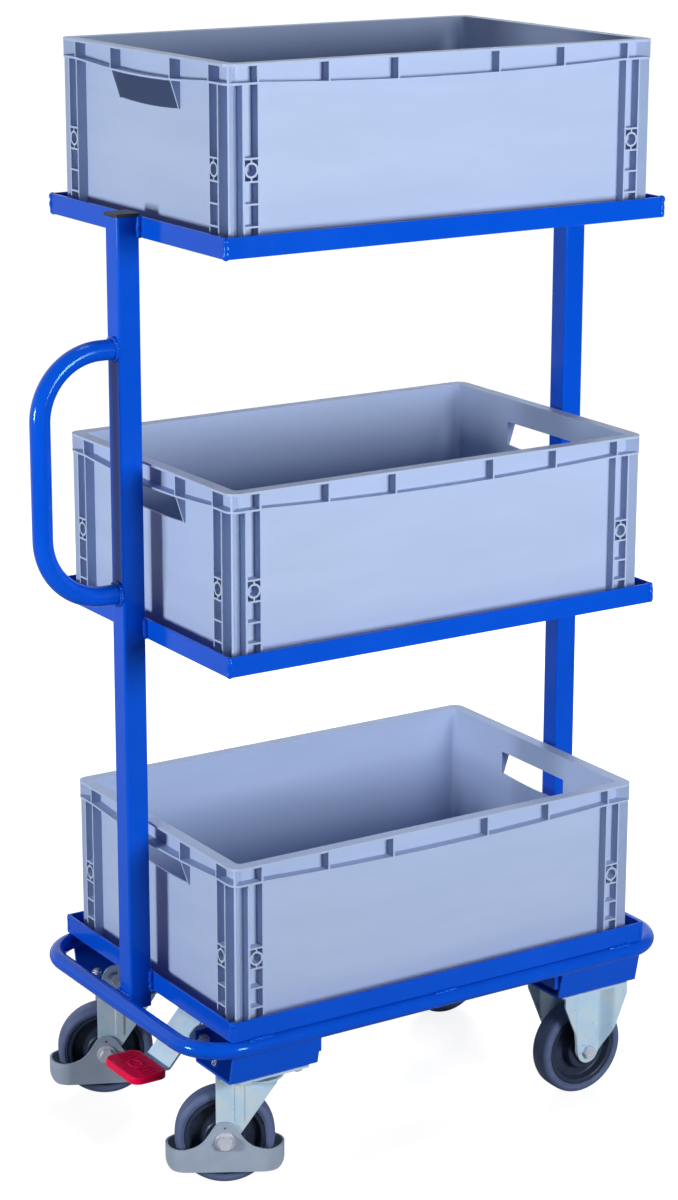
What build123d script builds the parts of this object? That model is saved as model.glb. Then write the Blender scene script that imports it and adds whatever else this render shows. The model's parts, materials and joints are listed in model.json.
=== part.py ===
from build123d import *
import math
import os

os.makedirs("parts", exist_ok=True)

# All sizes are in millimetres. X runs along the long side, with the push handle at -X,
# Y across the trolley and Z up. The origin is on the floor, below the middle of the whole trolley.

# Boxes
box_length = 600.0
box_width = 400.0
box_height = 220.0
box_rim_width = 16.0
box_rim_thickness = 3.0
box_wall = 2.5
box_floor = 3.0
box_corner = 14.0
box_cavity_corner = 6.0
foot_height = 8.0
foot_inset = 18.0
foot_wall = 3.0
foot_corner = 12.0
skirt_depth_ends = 23.5
skirt_depth_middle = 30.0
skirt_flat_end = 46.0
skirt_lip = 2.5
skirt_rib = 2.4
skirt_rib_from_middle = 70.75
skirt_rib_from_end = 41.0
corner_fin = 2.4
rib_inset = 1.0
ladder_rib = 2.2
ladder_inner = 22.5
ladder_outer = 41.7
ladder_steps = (107.0, 133.0, 158.5, 184.0)
boss_radius = 9.0
boss_bore = 6.6
hand_hold_drop = 1.0
hand_hold_depth_ends = 61.5
hand_hold_depth_middle = 64.0
gusset_foot = 1.5

# Shelves: mitred steel angle, the upright leg outside
load_levels = {"base": 220.0, "middle": 679.0, "top": 1168.0}
angle_leg = 25.0
angle_thickness = 3.0
box_play_x = 8.0
box_play_y = 10.0

# Posts and push handle
post_size = 30.0
post_wall = 2.0
post_corner = 3.0
cap_thickness = 4.0
cap_overhang = 1.5
cap_plug = 14.0
cap_plug_wall = 2.0
cap_play = 0.2
tube_diameter = 25.0
tube_wall = 2.0
handle_reach = 99.0
handle_low = 733.0
handle_high = 1033.0
handle_bend = 80.0

# Bumper ring, just below the side rails
ring_diameter = 21.3
ring_inset = 3.0
ring_bend = 62.0
ring_gap = 0.5

# Casters
wheel_diameter = 125.0
wheel_width = 32.0
tyre_thickness = 12.0
tyre_shoulder = 7.0
caster_height = 155.5
swivel_inset_x = 68.0
fixed_inset_x = 61.0
caster_inset_y = 57.0
swivel_trail = 40.0
swivel_rest_angles = {"right": -30.0, "left": -25.0}
plate_length = 105.0
plate_width = 85.0
plate_thickness = 3.0
plate_corner = 6.0
bolt_pitch_x = 80.0
bolt_pitch_y = 60.0
bolt_diameter = 8.0
bolt_hole = 9.0
bolt_head_width = 13.0
bolt_head_height = 5.3
bolt_tail = 3.0
nut_height = 6.5

# Wheel insides
hub_length = 40.0
hub_diameter = 52.0
hub_bore = 20.0
web_thickness = 9.0
core_rim_depth = 8.0
core_rim_width = 28.0
axle_diameter = 10.0
sleeve_diameter = 14.0
running_clearance = 0.05
axle_hole = 10.5
axle_head_width = 16.0
axle_head_height = 6.4
axle_washer_diameter = 25.0
axle_washer_thickness = 2.0
axle_tail = 3.0

# Forks
fork_sheet = 3.0
fork_gap = 44.0
fork_end_radius = 14.0
fork_crown_radius = 34.0
crown_top = 144.0
race_gap = 0.3
race_diameter = 62.0
kingpin_diameter = 20.0
kingpin_flange_diameter = 30.0
kingpin_flange = 4.0
kingpin_head = 2.0
fork_leg_back = 11.0
fork_leg_front = 25.0
fork_shoulder = 4.0
fork_rib_offset = 18.0
fork_rib_width = 10.0
fork_rib_rise = 1.5
race_chamfer = 2.0
fixed_fork_lip = 17.0
fixed_fork_shoulder = 112.0
fixed_leg_top = 100.0
fixed_leg_waist = 54.0
fixed_leg_waist_height = 100.0
fixed_panel_rise = 1.2
fixed_panel_width = 32.0

# Toe guard
guard_length = 148.0
guard_wall = 2.7
guard_gap = 0.3
guard_bottom_height = 21.0
guard_valley_height = 49.0
guard_end_height = 51.0
guard_hump_height = 88.0
guard_valley_share = 0.76
guard_flank = 21.0
guard_flank_drop = 16.0
guard_slot_drop = 9.0
guard_foot_corner = 12.0
guard_pin_hole = 3.0
guard_pin_height = 80.0

# Caster brackets and cross bars
bracket_length = 125.0
bracket_width = 84.0
bracket_sheet = 3.0
bracket_lean = 10.8
bracket_inner_rise = 11.0
bracket_eye = 36.0
cross_bar_thickness = 6.0
cross_bar_bottom = 170.0
cross_bar_foot_clearance = 3.0
cross_bar_foot_play = 4.0

# Central brake
shaft_height = 180.0
shaft_diameter = 14.0
shaft_overhang = 12.0
shaft_hole = 18.0
cam_radius = 11.0
cam_throw = 11.0
cam_width = 10.0
plunger_diameter = 10.0
plunger_head_diameter = 28.0
plunger_head = 4.0
plunger_pad_diameter = 16.0
plunger_pad_height = 5.0
plunger_pad_bottom = 121.0
cam_gap = 0.3
bearing_plate_sheet = 3.0
bearing_plate_radius = 17.0
bearing_plate_reach = 54.0
bearing_bolt_rise = 5.0
lever_width = 56.0
lever_sheet = 3.0
lever_slope = 48.0
lever_top_run = 12.0
lever_ear_radius = 13.0
tongue_height = 111.5
pedal_length = 50.0
pedal_width = 84.0
pedal_height = 9.5
pedal_reach = 110.0
pedal_corner = 13.0
pedal_edge = 3.0
pedal_relief = 0.8
pedal_oval_length = 26.0
pedal_oval_width = 18.0
pedal_oval_line = 3.0
pedal_bar_length = 22.0
pedal_bar_width = 3.0
pedal_bar_pitch = 7.0
pedal_bar_start = 19.0
pedal_bars = 3
tongue_play = 0.1
tongue_stop = 5.0

# Worked out from the sizes above
shelf_length = box_length + 2 * (box_play_x + angle_thickness)
shelf_width = box_width + 2 * (box_play_y + angle_thickness)
swivel_x = shelf_length / 2 - swivel_inset_x
fixed_caster_x = shelf_length / 2 - fixed_inset_x
caster_y = shelf_width / 2 - caster_inset_y
cross_bar_length = 2 * caster_y + bracket_width
cross_bar_shoulder = box_width - 2 * (foot_inset - cross_bar_foot_play)
shaft_length = 2 * (caster_y + shaft_overhang)
tube_radius = tube_diameter / 2
ring_radius = ring_diameter / 2
ring_x = shelf_length / 2 + post_size + ring_radius
ring_y = shelf_width / 2 - ring_inset
handle_x = shelf_length / 2 + post_size + handle_reach
frame_x = (handle_x + tube_radius - ring_x - ring_radius) / 2
post_offset = shelf_length / 2 + post_size / 2
post_top = load_levels["top"] - angle_thickness + angle_leg
wheel_radius = wheel_diameter / 2
core_radius = wheel_radius - tyre_thickness
leg_outside = fork_gap / 2 + fork_sheet
guard_inside = leg_outside + guard_gap
guard_outside = guard_inside + guard_wall
web_top = caster_height + bracket_sheet
rail_underside = load_levels["base"] - angle_thickness
ring_height = rail_underside - ring_gap - ring_radius
post_bottom = ring_height - ring_radius
foot_underside = load_levels["base"] - foot_height
crown_bottom = crown_top - fork_sheet
plunger_top = shaft_height - cam_radius - cam_gap
tilt = math.radians(lever_slope)
shaft_x = frame_x - swivel_x


def write_piece(piece, name):
    piece.label = name
    export_step(piece, f"parts/{name}.step")


def floor_plane(x, y, angle=0.0):
    turn = math.radians(angle)
    return Plane((x, y, 0), x_dir=(math.cos(turn), math.sin(turn), 0), z_dir=(0, 0, 1))


def upright_plane(base, along, across):
    origin = base.from_local_coords(Vector(along, across, 0))
    return Plane(origin, x_dir=base.x_dir, z_dir=-base.y_dir)


def side_planes(length, width, height):
    # The four outer faces of a rectangle round the trolley's middle, each with its x along the face
    faces = []
    for outward, reach in (((0, -1), width), ((0, 1), width), ((-1, 0), length), ((1, 0), length)):
        origin = (frame_x + outward[0] * reach / 2, outward[1] * reach / 2, height)
        normal = Vector(outward[0], outward[1], 0)
        faces.append(Plane(origin, x_dir=Vector(0, 0, 1).cross(normal), z_dir=normal))
    return faces


# Shelf rails
def make_rail(outward, reach, length, level):
    normal = Vector(outward[0], outward[1], 0)
    along = normal.cross(Vector(0, 0, 1))
    origin = (frame_x + outward[0] * reach / 2, outward[1] * reach / 2, level - angle_thickness)
    with BuildPart() as rail:
        with BuildSketch(Plane(origin, x_dir=normal, z_dir=along)):
            Rectangle(angle_leg, angle_thickness, align=(Align.MAX, Align.MIN))
            Rectangle(angle_thickness, angle_leg, align=(Align.MAX, Align.MIN))
        extrude(amount=length / 2, both=True)
        with BuildSketch(Plane(origin, x_dir=along, z_dir=(0, 0, 1))):
            with BuildLine():
                Polyline(
                    (-length / 2, 0),
                    (length / 2, 0),
                    (length / 2 - angle_leg, -angle_leg),
                    (angle_leg - length / 2, -angle_leg),
                    close=True,
                )
            make_face()
        extrude(amount=angle_leg, mode=Mode.INTERSECT)
    return rail.part


for shelf, level in load_levels.items():
    write_piece(make_rail((0, -1), shelf_width, shelf_length, level), f"{shelf}_right_rail")
    write_piece(make_rail((0, 1), shelf_width, shelf_length, level), f"{shelf}_left_rail")
    write_piece(make_rail((-1, 0), shelf_length, shelf_width, level), f"{shelf}_handle_end_rail")
    write_piece(make_rail((1, 0), shelf_length, shelf_width, level), f"{shelf}_far_end_rail")


# Posts with their caps
def make_post(x):
    with BuildPart() as post:
        with BuildSketch(Plane((x, 0, post_bottom))):
            RectangleRounded(post_size, post_size, post_corner)
            RectangleRounded(
                post_size - 2 * post_wall,
                post_size - 2 * post_wall,
                post_corner - post_wall / 2,
                mode=Mode.SUBTRACT,
            )
        extrude(amount=post_top - post_bottom)
    return post.part


handle_post_x = frame_x - post_offset
far_post_x = frame_x + post_offset
write_piece(make_post(handle_post_x), "handle_post")
write_piece(make_post(far_post_x), "far_post")

plug_size = post_size - 2 * post_wall - 2 * cap_play
with BuildPart() as post_caps:
    for x in (handle_post_x, far_post_x):
        with BuildSketch(Plane((x, 0, post_top))):
            RectangleRounded(post_size + 2 * cap_overhang, post_size + 2 * cap_overhang, post_corner)
        extrude(amount=cap_thickness)
        with BuildSketch(Plane((x, 0, post_top))):
            RectangleRounded(plug_size, plug_size, post_corner - post_wall / 2)
            RectangleRounded(
                plug_size - 2 * cap_plug_wall,
                plug_size - 2 * cap_plug_wall,
                cap_plug_wall / 4,
                mode=Mode.SUBTRACT,
            )
        extrude(amount=-cap_plug)
    chamfer(post_caps.faces().group_by(Axis.Z)[-1].edges(), cap_thickness / 3)
write_piece(post_caps.part, "post_caps")

# Push handle, a bent tube on the outer face of its post
handle_face = handle_post_x - post_size / 2
with BuildPart() as push_handle:
    with BuildLine() as handle_path:
        FilletPolyline(
            (handle_face, 0, handle_high),
            (handle_face - handle_reach, 0, handle_high),
            (handle_face - handle_reach, 0, handle_low),
            (handle_face, 0, handle_low),
            radius=handle_bend,
        )
    with BuildSketch(Plane((handle_face, 0, handle_high), z_dir=(-1, 0, 0))):
        Circle(tube_radius)
        Circle(tube_radius - tube_wall, mode=Mode.SUBTRACT)
    sweep(path=handle_path.line)
write_piece(push_handle.part, "push_handle")

# Bumper ring, a closed tube round the base
def sweep_ring(hollow):
    with BuildPart() as ring:
        with BuildLine() as ring_path:
            FilletPolyline(
                (frame_x - ring_x, -ring_y, ring_height),
                (frame_x + ring_x, -ring_y, ring_height),
                (frame_x + ring_x, ring_y, ring_height),
                (frame_x - ring_x, ring_y, ring_height),
                radius=ring_bend,
                close=True,
            )
        with BuildSketch(Plane(ring_path.line @ 0, z_dir=ring_path.line % 0)):
            Circle(ring_radius)
            if hollow:
                Circle(ring_radius - tube_wall, mode=Mode.SUBTRACT)
        sweep(path=ring_path.line)
    return ring.part


write_piece(sweep_ring(True), "bumper_ring")
ring_envelope = sweep_ring(False)


# Caster brackets: channels open at both ends, web down, the leaning outer flange coped to the ring
def make_bracket(x, side, has_brake):
    inner_top = shaft_height + bearing_bolt_rise + bracket_inner_rise
    outer_face = side * (caster_y + bracket_width / 2)
    inner_face = side * (caster_y - bracket_width / 2)
    outer_top = outer_face + side * bracket_lean
    with BuildPart() as bracket:
        with BuildSketch(Plane((x, 0, 0), x_dir=(0, 1, 0), z_dir=(1, 0, 0))) as section:
            with BuildLine():
                Polyline(
                    (outer_top, ring_height),
                    (outer_face, caster_height),
                    (inner_face, caster_height),
                    (inner_face, inner_top),
                    (inner_face + side * bracket_sheet, inner_top),
                    (inner_face + side * bracket_sheet, web_top),
                    (outer_face - side * bracket_sheet, web_top),
                    (outer_top - side * bracket_sheet, ring_height),
                    close=True,
                )
            make_face()
            fillet(section.vertices().group_by(Axis.Y)[0], bracket_sheet)
        extrude(amount=bracket_length / 2, both=True)
        add(ring_envelope, mode=Mode.SUBTRACT)
        with BuildSketch(Plane((x, side * caster_y, caster_height))):
            with GridLocations(bolt_pitch_x, bolt_pitch_y, 2, 2):
                Circle(bolt_hole / 2)
            if has_brake:
                Circle(bracket_eye / 2)
        extrude(amount=bracket_sheet, mode=Mode.SUBTRACT)
        if has_brake:
            with BuildSketch(Plane((x, inner_face, shaft_height), x_dir=(1, 0, 0), z_dir=(0, -1, 0))):
                Circle(shaft_hole / 2)
                with Locations((-bearing_plate_reach, bearing_bolt_rise)):
                    Circle(bolt_hole / 2)
            extrude(amount=bracket_sheet, both=True, mode=Mode.SUBTRACT)
    return bracket.part


fixed_x = frame_x + fixed_caster_x
sides = {"right": -1, "left": 1}
for hand, side in sides.items():
    write_piece(make_bracket(shaft_x, side, True), f"{hand}_swivel_bracket")
    write_piece(make_bracket(fixed_x, side, False), f"{hand}_fixed_bracket")

# Cross bars between the side rails, at the inner ends of the brackets
bar_setback = bracket_length / 2 + cross_bar_thickness / 2
with BuildPart() as base_cross_bars:
    for x in (shaft_x + bar_setback, fixed_x - bar_setback):
        with BuildSketch(Plane((x, 0, 0), x_dir=(0, 1, 0), z_dir=(1, 0, 0))):
            with BuildLine():
                Polyline(
                    (-cross_bar_length / 2, cross_bar_bottom),
                    (cross_bar_length / 2, cross_bar_bottom),
                    (cross_bar_length / 2, rail_underside),
                    (cross_bar_shoulder / 2, rail_underside),
                    (cross_bar_shoulder / 2, foot_underside - cross_bar_foot_clearance),
                    (-cross_bar_shoulder / 2, foot_underside - cross_bar_foot_clearance),
                    (-cross_bar_shoulder / 2, rail_underside),
                    (-cross_bar_length / 2, rail_underside),
                    close=True,
                )
            make_face()
        extrude(amount=cross_bar_thickness / 2, both=True)
write_piece(base_cross_bars.part, "base_cross_bars")


# Wheels, turned about the axle
def wheel_plane(base, trail):
    centre = base.from_local_coords(Vector(-trail, 0, wheel_radius))
    return Plane(centre, x_dir=base.x_dir, z_dir=base.z_dir)


def make_tyre(wheel):
    with BuildPart() as tyre:
        with BuildSketch(wheel) as section:
            with Locations((core_radius, 0)):
                Rectangle(tyre_thickness, wheel_width, align=(Align.MIN, Align.CENTER))
            fillet(section.vertices().group_by(Axis.X)[-1], tyre_shoulder)
        revolve(axis=Axis(wheel.origin, wheel.y_dir))
    return tyre.part


def make_wheel_core(wheel):
    rim_inside = core_radius - core_rim_depth
    with BuildPart() as core:
        with BuildSketch(wheel):
            with Locations((hub_bore / 2, 0)):
                Rectangle((hub_diameter - hub_bore) / 2, hub_length, align=(Align.MIN, Align.CENTER))
                Rectangle(core_radius - hub_bore / 2, web_thickness, align=(Align.MIN, Align.CENTER))
            with Locations((rim_inside, 0)):
                Rectangle(core_rim_depth, core_rim_width, align=(Align.MIN, Align.CENTER))
        revolve(axis=Axis(wheel.origin, wheel.y_dir))
    return core.part


def make_wheel_bearing(wheel):
    inside = sleeve_diameter / 2 + running_clearance
    with BuildPart() as bearing:
        with BuildSketch(wheel):
            with Locations((inside, 0)):
                Rectangle(hub_bore / 2 - inside, hub_length, align=(Align.MIN, Align.CENTER))
        revolve(axis=Axis(wheel.origin, wheel.y_dir))
    return bearing.part


# Axle bolt with its sleeve, washers and nut, each its own solid
def make_axle(wheel, seat, has_washers):
    across = Plane(wheel.origin, x_dir=wheel.x_dir, z_dir=wheel.y_dir)
    washer = axle_washer_thickness if has_washers else 0
    with BuildPart() as axle_bolt:
        with BuildSketch(across.offset(-seat - washer)):
            RegularPolygon(axle_head_width / 2, 6, major_radius=False)
        extrude(amount=-axle_head_height)
        with BuildSketch(across.offset(-seat - washer)):
            Circle(axle_diameter / 2)
        extrude(amount=2 * (seat + washer) + axle_head_height + axle_tail)
    with BuildPart() as axle_nut:
        with BuildSketch(across.offset(seat + washer)):
            RegularPolygon(axle_head_width / 2, 6, major_radius=False)
            Circle(axle_diameter / 2, mode=Mode.SUBTRACT)
        extrude(amount=axle_head_height)
    with BuildPart() as axle_sleeve:
        with BuildSketch(across):
            Circle(sleeve_diameter / 2)
            Circle(axle_diameter / 2, mode=Mode.SUBTRACT)
        extrude(amount=fork_gap / 2, both=True)
    pieces = [axle_bolt.part, axle_nut.part, axle_sleeve.part]
    if has_washers:
        for start in (-seat - washer, seat):
            with BuildPart() as axle_washer:
                with BuildSketch(across.offset(start)):
                    Circle(axle_washer_diameter / 2)
                    Circle(axle_diameter / 2, mode=Mode.SUBTRACT)
                extrude(amount=washer)
            pieces.append(axle_washer.part)
    return pieces


# Swivel fork: two cranked legs under a round crown
def make_swivel_fork(base):
    leg_back = -swivel_trail - fork_leg_back
    leg_front = fork_leg_front
    with BuildPart() as fork:
        for across in (fork_sheet - leg_outside, leg_outside):
            with BuildSketch(upright_plane(base, 0, across)):
                with BuildLine():
                    Polyline(
                        (leg_back, wheel_radius),
                        (leg_back, crown_top),
                        (leg_front, crown_top),
                        (leg_front, crown_top - fork_shoulder),
                        (fork_end_radius - swivel_trail, wheel_radius),
                        close=True,
                    )
                make_face()
                with Locations((-swivel_trail, wheel_radius)):
                    Circle(fork_end_radius)
            extrude(amount=fork_sheet)
        rib_bottom = guard_hump_height + guard_gap
        for across in (leg_outside + fork_rib_rise, -leg_outside):
            with BuildSketch(upright_plane(base, fork_rib_offset - swivel_trail, across)):
                with Locations((0, rib_bottom)):
                    Rectangle(fork_rib_width, crown_top - rib_bottom, align=(Align.CENTER, Align.MIN))
            extrude(amount=fork_rib_rise)
        with BuildSketch(base.offset(crown_bottom)):
            Circle(fork_crown_radius)
            with Locations(((leg_back + leg_front) / 2, 0)):
                Rectangle(leg_front - leg_back, 2 * leg_outside)
        extrude(amount=fork_sheet)
        with BuildSketch(base.offset(crown_bottom)):
            Circle(kingpin_diameter / 2 + running_clearance)
        extrude(amount=fork_sheet, mode=Mode.SUBTRACT)
        with BuildSketch(upright_plane(base, -swivel_trail, leg_outside)):
            with Locations((0, wheel_radius)):
                Circle(axle_hole / 2)
        extrude(amount=2 * leg_outside, mode=Mode.SUBTRACT)
    return fork.part


# Toe guard: an oval skirt round the wheel, with a hump over the axle on both sides
def make_toe_guard(base):
    half = guard_length / 2
    valley = half * guard_valley_share
    with BuildPart() as guard:
        with BuildSketch(wheel_plane(base, swivel_trail).offset(guard_bottom_height - wheel_radius)):
            SlotOverall(guard_length, 2 * guard_outside)
            SlotOverall(guard_length - 2 * guard_wall, 2 * guard_inside, mode=Mode.SUBTRACT)
        extrude(amount=guard_hump_height - guard_bottom_height)
        with BuildSketch(upright_plane(base, -swivel_trail, guard_outside)) as side_view:
            with BuildLine():
                Spline(
                    (-half, guard_end_height),
                    (-valley, guard_valley_height),
                    (-guard_flank, guard_hump_height - guard_flank_drop),
                    (0, guard_hump_height),
                    (guard_flank, guard_hump_height - guard_flank_drop),
                    (valley, guard_valley_height),
                    (half, guard_end_height),
                    tangents=((1, 0), (1, 0)),
                )
                Polyline(
                    (half, guard_end_height),
                    (half, guard_bottom_height),
                    (-half, guard_bottom_height),
                    (-half, guard_end_height),
                )
            make_face()
            fillet(side_view.vertices().group_by(Axis.Y)[0], guard_foot_corner)
        extrude(amount=2 * guard_outside, mode=Mode.INTERSECT)
        with BuildSketch(upright_plane(base, -swivel_trail, guard_outside)):
            with Locations((0, wheel_radius - guard_slot_drop / 2)):
                SlotCenterToCenter(guard_slot_drop, axle_hole, rotation=90)
            with Locations((0, guard_pin_height)):
                Circle(guard_pin_hole / 2)
        extrude(amount=2 * guard_outside, mode=Mode.SUBTRACT)
    return guard.part


# Swivel head: top plate, sealed ball race and hollow kingpin
def make_swivel_plate(base):
    with BuildPart() as plate:
        with BuildSketch(base.offset(caster_height - plate_thickness)):
            RectangleRounded(plate_length, plate_width, plate_corner)
            Circle(kingpin_diameter / 2, mode=Mode.SUBTRACT)
            with GridLocations(bolt_pitch_x, bolt_pitch_y, 2, 2):
                Circle(bolt_hole / 2, mode=Mode.SUBTRACT)
        extrude(amount=plate_thickness)
    return plate.part


def make_swivel_bearing(base):
    with BuildPart() as race:
        with BuildSketch(base.offset(crown_top + race_gap)):
            Circle(race_diameter / 2)
            Circle(kingpin_diameter / 2, mode=Mode.SUBTRACT)
        extrude(amount=caster_height - plate_thickness - crown_top - race_gap)
        chamfer(race.faces().sort_by(Axis.Z)[0].edges().sort_by(SortBy.LENGTH)[-1], race_chamfer)
    return race.part


def make_kingpin(base):
    flange_top = crown_bottom - race_gap
    with BuildPart() as kingpin:
        with BuildSketch(base.offset(flange_top - kingpin_flange)):
            Circle(kingpin_flange_diameter / 2)
        extrude(amount=kingpin_flange)
        with BuildSketch(base.offset(flange_top)):
            Circle(kingpin_diameter / 2)
        extrude(amount=caster_height - flange_top)
        with BuildSketch(base.offset(caster_height)):
            Circle(kingpin_flange_diameter / 2)
        extrude(amount=kingpin_head)
        with BuildSketch(base.offset(flange_top - kingpin_flange)):
            Circle(plunger_diameter / 2 + running_clearance)
        extrude(amount=caster_height + kingpin_head - flange_top + kingpin_flange, mode=Mode.SUBTRACT)
    return kingpin.part


# Fixed fork: one pressed sheet, its legs drawn in from the plate to the hub and tapered to the axle
def make_fixed_fork(base):
    plate_bottom = caster_height - plate_thickness
    lip_bottom = caster_height - fixed_fork_lip
    leg_bottom = wheel_radius - fork_end_radius
    plate_half = plate_width / 2
    flank = plate_half - fixed_panel_rise
    leg_half = fixed_leg_top / 2
    # The sheet itself, and the panel pressed out of the middle of it
    layers = ((fork_sheet, Side.RIGHT, plate_length), (fixed_panel_rise, Side.LEFT, fixed_panel_width))
    with BuildPart() as fork:
        for thickness, layer_side, width in layers:
            with BuildSketch(Plane(base.origin, x_dir=(0, 1, 0), z_dir=(1, 0, 0))):
                with BuildLine():
                    Polyline(
                        (-leg_outside, leg_bottom),
                        (-leg_outside, fixed_fork_shoulder),
                        (-flank, lip_bottom),
                        (-flank, caster_height),
                        (flank, caster_height),
                        (flank, lip_bottom),
                        (leg_outside, fixed_fork_shoulder),
                        (leg_outside, leg_bottom),
                    )
                    offset(amount=thickness, side=layer_side)
                make_face()
            extrude(amount=width / 2, both=True)
        with BuildSketch(upright_plane(base, 0, plate_half)):
            with BuildLine():
                for side in (-1, 1):
                    Polyline((0, caster_height), (side * plate_length / 2, caster_height))
                    Polyline(
                        (side * plate_length / 2, caster_height),
                        (side * plate_length / 2, plate_bottom),
                        (side * leg_half, plate_bottom),
                        (side * leg_half, lip_bottom),
                    )
                    ThreePointArc(
                        (side * leg_half, lip_bottom),
                        (side * fixed_leg_waist / 2, fixed_leg_waist_height),
                        (side * fork_end_radius, wheel_radius),
                    )
                ThreePointArc(
                    (-fork_end_radius, wheel_radius),
                    (0, leg_bottom),
                    (fork_end_radius, wheel_radius),
                )
            make_face()
        extrude(amount=plate_width, mode=Mode.INTERSECT)
        with BuildSketch(base.offset(plate_bottom)):
            with GridLocations(bolt_pitch_x, bolt_pitch_y, 2, 2):
                Circle(bolt_hole / 2)
        extrude(amount=plate_thickness, mode=Mode.SUBTRACT)
        with BuildSketch(upright_plane(base, 0, plate_half)):
            with Locations((0, wheel_radius)):
                Circle(axle_hole / 2)
        extrude(amount=plate_width, mode=Mode.SUBTRACT)
        with BuildSketch(base):
            RectangleRounded(plate_length, plate_width, plate_corner)
        extrude(amount=caster_height, mode=Mode.INTERSECT)
    return fork.part


# Plate bolts with their heads below, and nuts on the bracket's web
def make_plate_fasteners(base):
    plate_bottom = caster_height - plate_thickness
    pieces = []
    for spot in GridLocations(bolt_pitch_x, bolt_pitch_y, 2, 2):
        centre = base.from_local_coords(Vector(spot.position.X, spot.position.Y, 0))
        with BuildPart() as bolt:
            with BuildSketch(Plane(centre).offset(plate_bottom)):
                RegularPolygon(bolt_head_width / 2, 6, major_radius=False)
            extrude(amount=-bolt_head_height)
            with BuildSketch(Plane(centre).offset(plate_bottom)):
                Circle(bolt_diameter / 2)
            extrude(amount=web_top + nut_height + bolt_tail - plate_bottom)
        with BuildPart() as nut:
            with BuildSketch(Plane(centre).offset(web_top)):
                RegularPolygon(bolt_head_width / 2, 6, major_radius=False)
                Circle(bolt_diameter / 2, mode=Mode.SUBTRACT)
            extrude(amount=nut_height)
        pieces += [bolt.part, nut.part]
    return pieces


swivel_bases = {}
fixed_bases = {}
for hand, side in sides.items():
    swivel_bases[hand] = floor_plane(shaft_x, side * caster_y, swivel_rest_angles[hand])
    fixed_bases[hand] = floor_plane(fixed_x, side * caster_y)

fasteners = []
fixed_axles = []
for hand, side in sides.items():
    mount = floor_plane(shaft_x, side * caster_y)
    base = swivel_bases[hand]
    wheel = wheel_plane(base, swivel_trail)
    write_piece(make_swivel_plate(mount), f"{hand}_swivel_plate")
    write_piece(make_swivel_bearing(mount), f"{hand}_swivel_race")
    write_piece(make_kingpin(mount), f"{hand}_kingpin")
    write_piece(make_swivel_fork(base), f"{hand}_swivel_fork")
    write_piece(make_toe_guard(base), f"{hand}_toe_guard")
    write_piece(Compound(children=make_axle(wheel, guard_outside, True)), f"{hand}_swivel_axle")
    write_piece(make_tyre(wheel), f"{hand}_swivel_tyre")
    write_piece(make_wheel_core(wheel), f"{hand}_swivel_wheel_core")
    write_piece(make_wheel_bearing(wheel), f"{hand}_swivel_wheel_bearing")
    fasteners += make_plate_fasteners(mount)

    base = fixed_bases[hand]
    wheel = wheel_plane(base, 0)
    write_piece(make_fixed_fork(base), f"{hand}_fixed_fork")
    write_piece(make_tyre(wheel), f"{hand}_fixed_tyre")
    write_piece(make_wheel_core(wheel), f"{hand}_fixed_wheel_core")
    write_piece(make_wheel_bearing(wheel), f"{hand}_fixed_wheel_bearing")
    fixed_axles += make_axle(wheel, leg_outside + fixed_panel_rise, False)
    fasteners += make_plate_fasteners(base)
write_piece(Compound(children=fixed_axles), "fixed_axles")
write_piece(Compound(children=fasteners), "caster_fasteners")

# Central brake: a cross shaft whose two cams push a plunger down through each kingpin
shaft_side = Plane((shaft_x, 0, shaft_height), x_dir=(1, 0, 0), z_dir=(0, -1, 0))
with BuildPart() as brake_shaft:
    with BuildSketch(shaft_side):
        Circle(shaft_diameter / 2)
    extrude(amount=shaft_length / 2, both=True)
    for side in sides.values():
        with BuildSketch(shaft_side.offset(side * caster_y)):
            with Locations((-cam_throw / 2, 0)):
                SlotCenterToCenter(cam_throw, 2 * cam_radius)
        extrude(amount=cam_width / 2, both=True)
write_piece(brake_shaft.part, "brake_shaft")


def make_plunger(side):
    with BuildPart() as plunger:
        with BuildSketch(Plane((shaft_x, side * caster_y, 0), x_dir=(1, 0, 0), z_dir=(0, -1, 0))):
            with Locations((0, plunger_pad_bottom)):
                Rectangle(plunger_pad_diameter / 2, plunger_pad_height, align=(Align.MIN, Align.MIN))
                Rectangle(
                    plunger_diameter / 2,
                    plunger_top - plunger_pad_bottom,
                    align=(Align.MIN, Align.MIN),
                )
            with Locations((0, plunger_top)):
                Rectangle(plunger_head_diameter / 2, plunger_head, align=(Align.MIN, Align.MAX))
        revolve(axis=Axis((shaft_x, side * caster_y, 0), (0, 0, 1)))
    return plunger.part


for hand, side in sides.items():
    write_piece(make_plunger(side), f"{hand}_brake_plunger")

# Bearing plates that carry the shaft on the brackets' inner flanges, each held by one bolt
plate_face = caster_y - bracket_width / 2
plate_run = math.hypot(bearing_plate_reach, bearing_bolt_rise)
plate_slope = math.degrees(math.atan2(bearing_bolt_rise, bearing_plate_reach))
with BuildPart() as brake_bearing_plates:
    for side in sides.values():
        with BuildSketch(shaft_side.offset(-side * plate_face)):
            with Locations((-bearing_plate_reach / 2, bearing_bolt_rise / 2)):
                SlotCenterToCenter(plate_run, 2 * bearing_plate_radius, rotation=-plate_slope)
            Circle(shaft_diameter / 2 + running_clearance, mode=Mode.SUBTRACT)
            with Locations((-bearing_plate_reach, bearing_bolt_rise)):
                Circle(bolt_hole / 2, mode=Mode.SUBTRACT)
        extrude(amount=side * bearing_plate_sheet)
write_piece(brake_bearing_plates.part, "brake_bearing_plates")

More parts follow.
